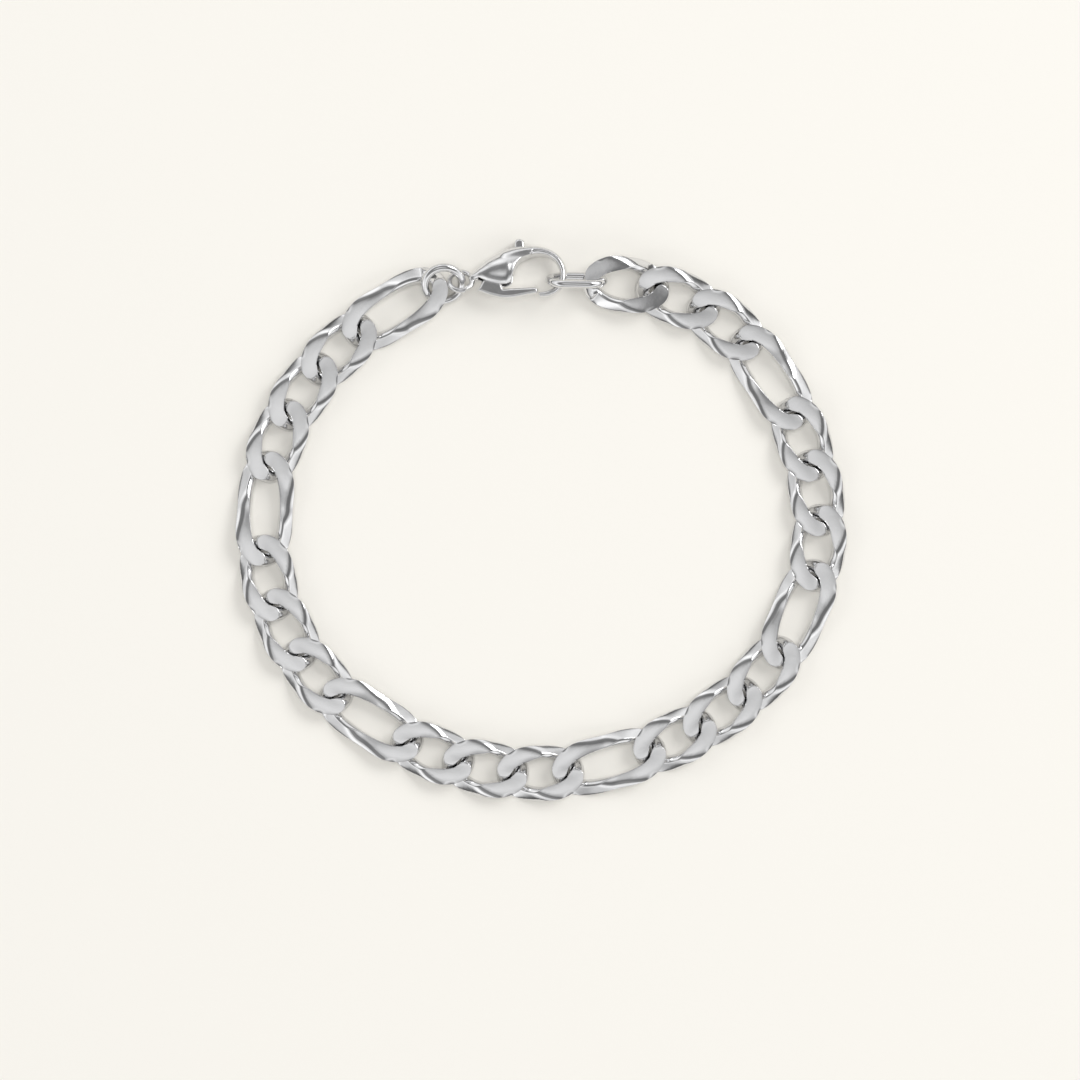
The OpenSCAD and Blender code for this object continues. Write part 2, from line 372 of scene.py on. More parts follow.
def noise_in(tree: Tree, size: float, detail: float) -> bpy.types.NodeSocket:
    """Noise that is fixed to the object, with features of a size in millimetres."""
    noise = feed(tree, tree.nodes.new("ShaderNodeTexNoise"), {
        "Vector": tree.nodes.new("ShaderNodeTexCoord").outputs["Object"],
        "Scale": 1 / (size * MM), "Detail": detail})
    return noise.outputs["Fac"]


def bump_in(tree: Tree, height: bpy.types.NodeSocket, depth: float) -> Node:
    """Bump shaped by an output, with a depth in micrometres."""
    return feed(tree, tree.nodes.new("ShaderNodeBump"), {
        "Height": height, "Distance": depth * MM * MM})


@dataclass(frozen=True)
class SteelFinish:
    """Polished steel with the faint unevenness that polishing leaves.

    Attributes:
        name: Name of the material.
        tint: Colour of its reflections.
        roughness: Middle roughness.
        spread: How far the roughness wanders each way.
        grain: Size of the fine unevenness, in millimetres.
        depth: Height of the fine unevenness, in micrometres.
        wave: Size of the soft hollows that a polishing wheel leaves, in millimetres.
        wave_depth: Height of those hollows, in micrometres.
    """

    name: str
    tint: tuple[float, float, float]
    roughness: float
    spread: float
    grain: float
    depth: float
    wave: float
    wave_depth: float

    # Share of the tint left where the metal is dullest, and layers of both noises
    DULLEST = 0.93
    FINE_DETAIL = 5.0
    WAVE_DETAIL = 2.0

    def material(self) -> Material:
        """Builds the material's nodes.

        Returns:
            The material.
        """
        made = bpy.data.materials.new(self.name)
        made.use_nodes = True
        tree = made.node_tree
        fine = noise_in(tree, self.grain, self.FINE_DETAIL)
        wave = noise_in(tree, self.wave, self.WAVE_DETAIL)
        rough = feed(tree, tree.nodes.new("ShaderNodeMapRange"), {
            "Value": wave, "To Min": self.roughness - self.spread,
            "To Max": self.roughness + self.spread})
        ramp = feed(tree, tree.nodes.new("ShaderNodeValToRGB"), {"Fac": fine})
        ramp.color_ramp.elements[0].color = (*[c * self.DULLEST for c in self.tint], 1)
        ramp.color_ramp.elements[1].color = (*self.tint, 1)
        soft = bump_in(tree, wave, self.wave_depth)
        hard = feed(tree, bump_in(tree, fine, self.depth), {"Normal": soft.outputs["Normal"]})
        feed(tree, tree.nodes["Principled BSDF"], {
            "Metallic": 1.0, "Base Color": ramp.outputs["Color"],
            "Roughness": rough.outputs["Result"], "Normal": hard.outputs["Normal"]})
        return made


STEEL = (0.78, 0.78, 0.785)
LINK_FINISH = SteelFinish("polished_link", STEEL, roughness=0.10, spread=0.03,
                          grain=0.10, depth=0.5, wave=1.3, wave_depth=9.0)
RING_FINISH = SteelFinish("polished_wire", STEEL, roughness=0.11, spread=0.03,
                          grain=0.12, depth=0.6, wave=1.0, wave_depth=6.0)
CLASP_FINISH = SteelFinish("polished_casting", STEEL, roughness=0.19, spread=0.04,
                           grain=0.12, depth=0.8, wave=1.6, wave_depth=14.0)
LEVER_FINISH = SteelFinish("tumbled_lever", (0.80, 0.80, 0.80), roughness=0.20, spread=0.05,
                           grain=0.10, depth=1.2, wave=0.9, wave_depth=8.0)


@dataclass(frozen=True)
class FloorFinish:
    """Plain pale card.

    Attributes:
        name: Name of the material.
        tint: Its colour.
        roughness: Its roughness.
        gloss: Strength of its reflections.
        grain: Size of its faint tooth, in millimetres.
        depth: Height of the tooth, in micrometres.
        detail: Finer layers of the tooth.
    """

    name: str = "pale_card"
    tint: tuple[float, float, float] = (0.90, 0.876, 0.82)
    roughness: float = 0.8
    gloss: float = 0.2
    grain: float = 0.6
    depth: float = 8.0
    detail: float = 3.0

    def material(self) -> Material:
        """Builds the material's nodes.

        Returns:
            The material.
        """
        made = bpy.data.materials.new(self.name)
        made.use_nodes = True
        tree = made.node_tree
        bump = bump_in(tree, noise_in(tree, self.grain, self.detail), self.depth)
        feed(tree, tree.nodes["Principled BSDF"], {
            "Base Color": (*self.tint, 1), "Roughness": self.roughness,
            "Specular IOR Level": self.gloss, "Normal": bump.outputs["Normal"]})
        return made


# The chain


@dataclass(frozen=True)
class ChainSizes:
    """Sizes of the chain's links, as in the solids, and the visible rounding of edges.

    Attributes:
        groups: Groups, each of one long link and some short ones.
        shorts: Short links in a group.
        short_l: Outer length of a short link.
        long_l: Outer length of a long link.
        link_w: Outer width of a link where its arms lie flat.
        arm_w: Width of the wire halfway along an arm.
        arm_t: Thickness of the wire there.
        end_w: Width of the wire at a link's ends.
        end_t: Thickness of the wire there.
        swell: Extra width between an arm and an end.
        file_t: Thickness between the filed flats.
        play: Free play between two linked wires.
        cross_gap: Least gap where arms cross.
        squareness: How square the centre line's ends are.
        depth_share: Thickness of the round wire, as a share of the table's.
        bevel_slope: Slope of the bevel along an arm's outer half, above and below.
        bevel_share: Height of the bevel's inner edge, as a share of the wire's.
        bevel_in: Distance of that edge inwards from the arm's middle.
        bevel_fade: Height by which the bevel runs out at the ends.
        blend: Width over which a filed flat turns into a bevel.
        dome_l: Radius of a filed flat's slight doming, along the chain.
        dome_w: The same across the arm.
        roundness: Power of the wire's section, 2 for an ellipse.
        edge: Width over which the edge of a filed flat is rounded.
        stations: Stations round a short link.
    """

    groups: int = 6
    shorts: int = 3
    short_l: float = 10.5
    long_l: float = 13.95
    link_w: float = 6.65
    arm_w: float = 1.65
    arm_t: float = 1.85
    end_w: float = 1.85
    end_t: float = 1.8
    swell: float = 0.16
    file_t: float = 1.7
    play: float = 0.14
    cross_gap: float = 0.26
    squareness: float = 2.6
    depth_share: float = 0.93
    bevel_slope: float = 0.66
    bevel_share: float = 0.93
    bevel_in: float = 0.1
    bevel_fade: float = 1.2
    blend: float = 0.4
    dome_l: float = 18.0
    dome_w: float = 9.0
    roundness: float = 2.2
    edge: float = 0.06
    stations: int = 180

    # Makes the swell's curve reach 1 at its highest
    SWELL_SCALE = 6.75

    @property
    def links(self) -> int:
        """Number of links in the chain."""
        return self.groups * (self.shorts + 1)

    @property
    def arm_y(self) -> float:
        """Distance of an arm's middle from the link's middle line."""
        return (self.link_w - self.arm_w) / 2

    def kind(self, i: int) -> LinkKind:
        """Kind of the link with a number, from 0."""
        return LinkKind.LONG if i % (self.shorts + 1) == 0 else LinkKind.SHORT

    def reach(self, kind: LinkKind) -> float:
        """Half length of a link's centre line."""
        return ((self.long_l if kind is LinkKind.LONG else self.short_l) - self.end_w) / 2

    def pitch(self, kind: LinkKind) -> float:
        """Length that a link adds to the chain."""
        return 2 * self.reach(kind) - self.end_w - self.play

    def half_width(self, u: Values) -> Values:
        """Half width of the wire at a share of the way from mid arm to tip."""
        bulge = self.swell * self.SWELL_SCALE * u * u * (1 - u)
        return (self.arm_w + (self.end_w - self.arm_w) * u + bulge) / 2

    def half_depth(self, u: Values) -> Values:
        """Half thickness of the wire, as the solids' tables have it."""
        return (self.arm_t + (self.end_t - self.arm_t) * u) / 2

    @property
    def end_twist(self) -> float:
        """Twist of a link's ends, from the height that crossing wires need.

        Returns:
            The twist in degrees.
        """
        share = self.pitch(LinkKind.SHORT) / 2 / self.reach(LinkKind.SHORT)
        across = self.arm_y * (1 - share ** self.squareness) ** (1 / self.squareness)
        rise = (self.half_depth(share) + self.cross_gap / 2) / across
        return math.degrees(math.asin(rise)) / share

    def twist_power(self, kind: LinkKind) -> float:
        """How late along a link its twist comes: later in a long one.

        Args:
            kind: Kind of the link.

        Returns:
            Power of the share of the way to a tip.
        """
        if kind is LinkKind.SHORT:
            return 1.0
        short, long = LinkKind.SHORT, LinkKind.LONG
        return (math.log(self.pitch(short) / 2 / self.reach(short))
                / math.log(self.pitch(long) / 2 / self.reach(long)))

    def turn(self, x: Array, kind: LinkKind) -> Array:
        """Twist of a link in degrees at places along it."""
        return -self.end_twist * signed_power(x / self.reach(kind), self.twist_power(kind))


@dataclass(frozen=True)
class RingSizes:
    """Sizes of the two jump rings.

    Attributes:
        wire: Wire diameter of both rings.
        round_d: Outer diameter of the round ring.
        oval_l: Outer length of the oval ring.
        oval_h: Outer height of the oval ring as it stands on edge.
        play: Free play on the links and on the clasp's eye.
        hook_play: Free play in the clasp's hook.
        round_tilt: Tilt of the round ring, its outer side up.
        oval_lean: Lean of the oval ring from upright.
        tip_drop: How far the last link's tip hangs below the oval ring's middle.
        stations: Stations round a ring.
        sides: Sides of its wire.
    """

    wire: float = 1.0
    round_d: float = 5.5
    oval_l: float = 7.5
    oval_h: float = 4.9
    play: float = 0.6
    hook_play: float = 0.7
    round_tilt: float = 32.0
    oval_lean: float = 17.0
    tip_drop: float = 0.14
    stations: int = 128
    sides: int = 32

    @property
    def round_r(self) -> float:
        """Radius of the round ring's centre line."""
        return (self.round_d - self.wire) / 2

    @property
    def oval_r(self) -> float:
        """Radius of the oval ring's ends."""
        return (self.oval_h - self.wire) / 2

    @property
    def oval_high(self) -> float:
        """Height of the oval ring's middle."""
        return self.oval_r * math.cos(math.radians(self.oval_lean)) + self.wire / 2


@dataclass(frozen=True)
class ClaspSizes:
    """Sizes of the hook clasp, in its own frame: eye at the origin, hook along +X.

    Rows of the body have the columns: along the clasp, across it, half width, half
    thickness, and rows of the hook the same, all as shares of length, width, width
    and thickness. The front is where the body ends and the hook's mouth begins, in
    columns along and across.

    Attributes:
        length: Length from the eye's middle to the crown of the hook.
        width: Width that the shares across are taken of.
        thick: Thickness of the body.
        roll: Turn of the whole clasp about its length.
        eye_turn: Further turn of the eye.
        eye_r: Radius of the eye's centre line.
        eye_wire: Wire diameter of the eye in the solids.
        eye_spare: How far the visible eye stays inside that wire, clear of the first link.
        lever_t: Thickness of the lever.
        slot_gap: Gap between the lever and its slot.
        swing: Greatest swing of the lever.
        pin_d: Diameter of the pin.
        pin_l: Length of the pin.
        pin_fit: Gap between the pin and its bores.
        gate_gap: Gap between the gate and the hook's tip.
        body: Rows of the body.
        front: Rows of the front.
        hook: Rows of the hook.
        pivot_at: Place of the pin.
    """

    length: float = 12.65
    width: float = 6.4
    thick: float = 3.0
    roll: float = 14.0
    eye_turn: float = 18.0
    eye_r: float = 1.35
    eye_wire: float = 0.76
    eye_spare: float = 0.07
    lever_t: float = 1.0
    slot_gap: float = 0.1
    swing: float = 20.0
    pin_d: float = 0.8
    pin_l: float = 1.6
    pin_fit: float = 0.04
    gate_gap: float = 0.12
    body: Rows = (
        (0.085, 0.060, 0.050, 0.12),
        (0.120, 0.090, 0.080, 0.18),
        (0.175, 0.135, 0.135, 0.31),
        (0.255, 0.170, 0.240, 0.43),
        (0.345, 0.198, 0.315, 0.49),
        (0.425, 0.225, 0.350, 0.50),
        (0.482, 0.270, 0.345, 0.46),
        (0.560, 0.340, 0.310, 0.40),
        (0.660, 0.420, 0.240, 0.34))
    front: Rows = (
        (0.440, -0.200), (0.478, -0.085), (0.492, 0.060), (0.505, 0.160),
        (0.530, 0.290), (0.580, 0.400), (0.660, 0.470))
    hook: Rows = (
        (0.430, 0.455, 0.130, 0.38),
        (0.520, 0.510, 0.125, 0.37),
        (0.620, 0.545, 0.112, 0.35),
        (0.730, 0.562, 0.092, 0.32),
        (0.835, 0.515, 0.078, 0.28),
        (0.918, 0.395, 0.070, 0.23),
        (0.964, 0.205, 0.066, 0.20),
        (0.964, 0.010, 0.066, 0.20),
        (0.912, -0.165, 0.066, 0.20),
        (0.830, -0.262, 0.062, 0.20),
        (0.738, -0.285, 0.052, 0.18))
    pivot_at: Share = (0.297, 0.055)

    # Rows of the body's widest place and of the hook's crown
    WIDEST = 5
    CROWN = 6

    @property
    def pivot(self) -> Array:
        """Middle of the lever's pin."""
        return self.place(self.pivot_at)

    @property
    def eye_inside(self) -> float:
        """Inner radius of the eye."""
        return self.eye_r - self.eye_wire / 2

    @property
    def hook_inside(self) -> float:
        """Distance of the hook's inner top from the eye's middle."""
        row = self.hook[self.CROWN]
        return row[0] * self.length - row[2] * self.width

    @property
    def high(self) -> float:
        """Height of the clasp's own origin above the surface.

        Returns:
            The height at which the rolled body just touches the surface.
        """
        row = self.body[self.WIDEST]
        roll = math.radians(self.roll)
        low = math.hypot(row[3] * self.thick * math.cos(roll), row[2] * self.width * math.sin(roll))
        return low + row[1] * self.width * math.sin(roll)

    def place(self, share: Share) -> Array:
        """A place in the clasp's plane, from its shares of length and width."""
        return np.array([share[0] * self.length, share[1] * self.width])

    def bearing(self, share: Share) -> float:
        """Direction from the pivot to a place, in degrees."""
        d = self.place(share) - self.pivot
        return math.degrees(math.atan2(d[1], d[0]))

    def off_pin(self, x: Array, y: Array) -> Array:
        """Distance of places in the clasp's plane from the pin's middle line."""
        return np.hypot(x - self.pivot[0], y - self.pivot[1])

    def around(self, radius: float, angle: float) -> Array:
        """A place at a distance and direction from the pivot."""
        turn = math.radians(angle)
        return self.pivot + radius * np.array([math.cos(turn), math.sin(turn)])


class Layout:
    """Where each piece of the closed loop lies, by the same walk as the solids."""

    # Radii of the route at even angles, the start's angle, and halvings of each search
    RADII = (33.3, 32.8, 32.7, 32.5, 31.5, 29.8, 29.0, 30.2, 31.7, 32.1, 33.1, 33.9,
             34.2, 34.2, 33.7, 32.6, 31.4, 30.9, 30.6, 30.4, 30.8, 31.7, 32.7, 33.2)
    START = 115.8
    HALVINGS = 32
    # Range of the scale against a rough guess, and the most degrees in one chord
    SCALES = (0.8, 1.2)
    STRIDE = 60

    def __init__(self, chain: ChainSizes, rings: RingSizes, clasp: ClaspSizes) -> None:
        """Closes the loop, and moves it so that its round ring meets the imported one.

        Args:
            chain: Sizes of the chain.
            rings: Sizes of the rings.
            clasp: Sizes of the clasp.
        """
        self.links = chain.links
        shared = (rings.play + rings.hook_play) / 2
        self.chords = [chain.pitch(chain.kind(i)) for i in range(self.links)] + [
            rings.oval_l - 2 * rings.wire - shared,
            clasp.hook_inside + clasp.eye_inside - shared,
            rings.round_d - 2 * rings.wire - rings.play]
        rough = sum(self.chords) / (2 * math.pi * sum(self.RADII) / len(self.RADII))
        low, high = (rough * scale for scale in self.SCALES)
        for _ in range(self.HALVINGS):
            scale = (low + high) / 2
            if self._walk(scale)[-1] > self.START + 360:
                low = scale
            else:
                high = scale
        self.holds = np.array([self._at(a, scale) for a in self._walk(scale)])
        box = [np.array(corner)[:2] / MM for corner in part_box("round_ring")]
        self.holds += (box[0] + box[1]) / 2 - self.middle(self.links + 2)

    def _radius(self, angle: float) -> float:
        """Radius of the route at an angle in degrees, on a smooth curve through the table."""
        share, i = math.modf(angle * len(self.RADII) / 360)
        near = (self.RADII[(int(i) + k) % len(self.RADII)] for k in (-1, 0, 1, 2))
        return cubic(*near, share)

    def _at(self, angle: float, scale: float) -> tuple[float, float]:
        """A place on the scaled route."""
        radius = scale * self._radius(angle)
        return radius * math.cos(math.radians(angle)), radius * math.sin(math.radians(angle))

    def _walk(self, scale: float) -> list[float]:
        """Walks along the route, one chord after the other.

        Args:
            scale: Scale of the route.

        Returns:
            Angles of all the holds, in degrees.
        """
        angles = [self.START]
        for chord in self.chords:
            here = self._at(angles[-1], scale)
            low, high = angles[-1], angles[-1] + self.STRIDE
            for _ in range(self.HALVINGS):
                mid = (low + high) / 2
                if math.dist(self._at(mid, scale), here) > chord:
                    high = mid
                else:
                    low = mid
            angles.append((low + high) / 2)
        return angles

    def heading(self, i: int) -> float:
        """Direction of a piece, in degrees from +X."""
        d = self.holds[i + 1] - self.holds[i]
        return math.degrees(math.atan2(d[1], d[0]))

    def middle(self, i: int) -> Array:
        """Place of a piece's middle."""
        return (self.holds[i] + self.holds[i + 1]) / 2

    def placed(self, i: int, points: Array, high: float) -> Array:
        """Points of a piece moved from its own frame to where it lies.

        Args:
            i: Number of the piece along the loop.
            points: Its points, with X along the loop.
            high: Height of its own origin.

        Returns:
            The points in the part's frame.
        """
        return turned(points, Axis.Z, self.heading(i)) + [*self.middle(i), high]


@dataclass
class Link:
    """One kind of twisted link, filed flat above and below.

    Attributes:
        sizes: Sizes of the chain.
        kind: Short or long.
        spare: Share of even spacing in where the section's points lie.
        flat_points: Points across half a filed flat.
        side_points: Points down one side of the wire between the flats.
    """

    sizes: ChainSizes
    kind: LinkKind
    spare: float = 0.06
    flat_points: int = 3
    side_points: int = 8

    # Points looked at round a section and round the centre line, and across an edge
    DENSE = 720
    OUTLINE = 7200
    EDGE_POINTS = 5
    # Place of a flat's highest point, as a share of a short link's reach
    FLAT_SHARE = 0.62
    # Shares of the way to a tip between which the bevel runs out
    FADE = (0.74, 1.0)
    # Length over which the flats turn over in the middle of an arm
    TURNOVER = 1.3

    def _line(self) -> tuple[Array, Array]:
        """Draws the untwisted centre line, at equal steps of length.

        Returns:
            Places along and across the link.
        """
        s = self.sizes
        t = np.linspace(0, 2 * math.pi, self.OUTLINE, endpoint=False)
        extra = s.reach(self.kind) - s.reach(LinkKind.SHORT)
        x = (s.reach(LinkKind.SHORT) * signed_power(np.cos(t), 2 / s.squareness)
             + extra * np.sign(np.cos(t)))
        w = s.arm_y * signed_power(np.sin(t), 2 / s.squareness)
        x, w = np.append(x, x[0]), np.append(w, w[0])
        run = np.concatenate([[0], np.cumsum(np.hypot(np.diff(x), np.diff(w)))])
        count = round(s.stations * s.reach(self.kind) / s.reach(LinkKind.SHORT))
        at = np.linspace(0, run[-1], count, endpoint=False)
        return np.interp(at, run, x), np.interp(at, run, w)

    def surface(self) -> Mesh:
        """Builds the link in its own frame, its middle at the origin.

        Returns:
            Points and quads.
        """
        s = self.sizes
        x, w = self._line()
        turn = np.radians(s.turn(x, self.kind))
        centre = np.stack([x, w * np.cos(turn), w * np.sin(turn)], axis=1)
        along = np.roll(centre, -1, axis=0) - np.roll(centre, 1, axis=0)
        up = np.stack([0 * x, -np.sin(turn), np.cos(turn)], axis=1)
        out = np.cross(along, up)
        out /= np.linalg.norm(out, axis=1, keepdims=True)
        across = np.cross(out, along)
        across /= np.linalg.norm(across, axis=1, keepdims=True)
        u = np.abs(x) / s.reach(self.kind)
        wide = out * s.half_width(u)[:, None]
        deep = across * (s.half_depth(u) * s.depth_share)[:, None]
        faces = np.stack([x, np.sign(w), np.abs(centre[:, 1]), centre[:, 2], u], axis=1)
        angles = np.stack([self._angles(*row) for row in zip(centre, wide, deep, faces)])
        a = signed_power(np.cos(angles), 2 / s.roundness)[..., None]
        b = signed_power(np.sin(angles), 2 / s.roundness)[..., None]
        points = centre[:, None] + a * wide[:, None] + b * deep[:, None]
        for sign in (1, -1):
            limit = self._filed(faces[:, None], points[..., 1], sign)
            points[..., 2] = sign * smooth_min(sign * points[..., 2], limit, s.edge)
        rings, sides = angles.shape
        return points.reshape(-1, 3), ring_faces(rings, sides)

    def _filed(self, face: Array, y: Array, sign: int) -> Array:
        """Height of the filed face over a section: a flat near an end, then a bevel.

        Args:
            face: Place along, side, place across and height of the wire's middle, and
                share of the way to a tip, in the last axis.
            y: Places across the link.
            sign: 1 for the upper face, -1 for the lower.

        Returns:
            Heights, measured away from the link's middle plane.
        """
        s = self.sizes
        x, side, across, height, u = np.moveaxis(face, -1, 0)
        out = side * y - across
        flat_mid = s.reach(self.kind) - s.reach(LinkKind.SHORT) * (1 - self.FLAT_SHARE)
        flat = (s.file_t / 2 - (np.hypot(x, self.TURNOVER) - flat_mid) ** 2 / (2 * s.dome_l)
                - out ** 2 / (2 * s.dome_w))
        share = np.clip((u - self.FADE[0]) / (self.FADE[1] - self.FADE[0]), 0, 1)
        fade = s.bevel_fade * share * share * (3 - 2 * share)
        crest = sign * height + s.half_depth(u) * s.depth_share * s.bevel_share + fade
        return smooth_min(flat, crest - s.bevel_slope * (out + s.bevel_in), s.blend)

    def _angles(self, centre: Array, wide: Array, deep: Array, face: Array) -> Array:
        """Where one section's points lie, close together along the filed edges.

        Args:
            centre: Middle of the section.
            wide: Its wide half axis.
            deep: Its deep half axis.
            face: What the filed face's height depends on.

        Returns:
            Angles round the section, rising.
        """
        power = 2 / self.sizes.roundness
        dense = np.linspace(0, 2 * math.pi, self.DENSE, endpoint=False)
        ring = (centre + signed_power(np.cos(dense), power)[:, None] * wide
                + signed_power(np.sin(dense), power)[:, None] * deep)
        above = {sign: sign * ring[:, 2] - self._filed(face, ring[:, 1], sign)
                 for sign in (1, -1)}
        middles = {sign: int(above[sign].argmax()) for sign in (1, -1)}
        levels = np.linspace(-1, 1, self.EDGE_POINTS) * self.sizes.edge
        runs = []
        for sign in (-1, 1):
            start, end = middles[sign], middles[-sign]
            span = np.arange(start, start + (end - start) % self.DENSE + 1)
            phi = span * 2 * math.pi / self.DENSE
            leaving = above[sign][span % self.DENSE][::-1]
            coming = above[-sign][span % self.DENSE]
            low = np.interp(levels, np.maximum.accumulate(leaving), phi[::-1])[::-1]
            high = np.interp(levels, np.maximum.accumulate(coming), phi)
            half = (phi[0] + phi[-1]) / 2
            low, high = np.minimum(low, half), np.maximum(high, half)
            kept = np.concatenate([
                np.linspace(phi[0], low[0], self.flat_points, endpoint=False), low,
                np.linspace(low[-1], high[0], self.side_points + 2)[1:-1], high,
                np.linspace(high[-1], phi[-1], self.flat_points + 1)[1:]])
            even = np.linspace(phi[0], phi[-1], len(kept))
            runs.append(((1 - self.spare) * kept + self.spare * even)[:-1])
        first, second = runs
        if second[0] < first[-1]:
            second = second + 2 * math.pi
        return np.concatenate([first, second])


@dataclass
class Chain:
    """The chain's links, each in its own place.

    Attributes:
        sizes: Sizes of the links.
        rings: Sizes of the rings, for the last link's lift.
        layout: Where each piece lies.
        edge_share: Share of the end's width from centre line to the lower flat's edge.
        first_high: Height of the first link's free tip, in wires of the round ring.
        near_share: Share of its own rise that the last link hands to the one before.
    """

    sizes: ChainSizes
    rings: RingSizes
    layout: Layout
    edge_share: float = 0.35
    first_high: float = 1.25
    near_share: float = 0.85

    def _edge(self, kind: LinkKind) -> float:
        """Distance from a link's middle to the edge that it pitches about."""
        return self.sizes.reach(kind) + self.sizes.end_w * self.edge_share

    def _pitch_up(self, i: int) -> float:
        """Pitch of a link: only the first and the last two leave the surface.

        Args:
            i: Number of the link, from 0.

        Returns:
            The pitch in degrees, up at the link's far end.
        """
        s, short, long = self.sizes, LinkKind.SHORT, LinkKind.LONG
        edge, half_pitch = self._edge(short), s.pitch(short) / 2
        lift = self.rings.oval_high - self.rings.tip_drop - s.file_t / 2
        last = math.asin(lift / (s.reach(short) + edge))
        if i == 0:
            rise = self.first_high * self.rings.wire - s.file_t / 2
            return -math.degrees(math.asin(rise / (s.reach(long) + self._edge(long))))
        if i == s.links - 1:
            return math.degrees(last)
        if i == s.links - 2:
            near = self.near_share * (edge - half_pitch) * math.sin(last)
            return math.degrees(math.asin(near / (edge + half_pitch)))
        return 0.0

    def build(self, material: Material) -> None:
        """Adds all the links.

        Args:
            material: The links' material.
        """
        shapes = {kind: Link(self.sizes, kind).surface() for kind in LinkKind}
        for i in range(self.sizes.links):
            kind = self.sizes.kind(i)
            points, faces = shapes[kind]
            pitch = self._pitch_up(i)
            edge = np.array([self._edge(kind) * (-1 if pitch < 0 else 1), 0, 0])
            lifted = points + [0, 0, self.sizes.file_t / 2] + edge
            pitched = turned(lifted, Axis.Y, -pitch) - edge
            name = f"link_{i + 1:02d}"
            mesh = self.layout.placed(i, pitched, 0.0), faces
            add_piece(f"{name}_steel", mesh, material, name)


@dataclass
class JumpRings:
    """The round and the oval ring of plain wire.

    Attributes:
        sizes: Sizes of both rings.
        layout: Where each piece lies.
    """

    sizes: RingSizes
    layout: Layout

    def _line(self, radius: float, straight: float, start: float) -> Array:
        """Draws a centre line of two half circles and two straights.

        Args:
            radius: Radius of the half circles.
            straight: Length of each straight.
            start: Angle of the first point, in radians.

        Returns:
            Points of the line, one row each.
        """
        t = np.arange(self.sizes.stations) * 2 * math.pi / self.sizes.stations + start
        return np.stack([radius * np.cos(t) + straight / 2 * np.sign(np.cos(t)),
                         radius * np.sin(t), 0 * t], axis=1)

    def _swept(self, line: Array) -> Mesh:
        """Sweeps a round wire along a closed line in the XY plane.

        Args:
            line: Points of the line, one row each.

        Returns:
            Points and quads.
        """
        along = np.roll(line, -1, axis=0) - np.roll(line, 1, axis=0)
        out = np.stack([along[:, 1], -along[:, 0], 0 * along[:, 0]], axis=1)
        out *= self.sizes.wire / 2 / np.linalg.norm(out, axis=1, keepdims=True)
        phi = np.arange(self.sizes.sides) * 2 * math.pi / self.sizes.sides
        up = np.array([0, 0, self.sizes.wire / 2])
        points = line[:, None] + np.cos(phi)[:, None] * out[:, None] + np.sin(phi)[:, None] * up
        return points.reshape(-1, 3), ring_faces(len(line), self.sizes.sides)

    def build(self, material: Material) -> None:
        """Adds both rings.

        Args:
            material: The rings' material.
        """
        s, links = self.sizes, self.layout.links
        circle = self._line(s.round_r, 0, 0)
        oval = self._line(s.oval_r, s.oval_l - s.oval_h, math.pi / s.stations)
        round_high = s.round_r * math.sin(math.radians(s.round_tilt)) + s.wire / 2
        shift = (s.hook_play - s.play) / 4
        for name, line, tilt, i, along, high in (
                ("round_ring", circle, -s.round_tilt, links + 2, 0, round_high),
                ("oval_ring", oval, 90 - s.oval_lean, links, shift, s.oval_high)):
            points, faces = self._swept(line)
            points = turned(points, Axis.X, tilt) + [along, 0, 0]
            mesh = self.layout.placed(i, points, high), faces
            add_piece(f"{name}_wire", mesh, material, name)


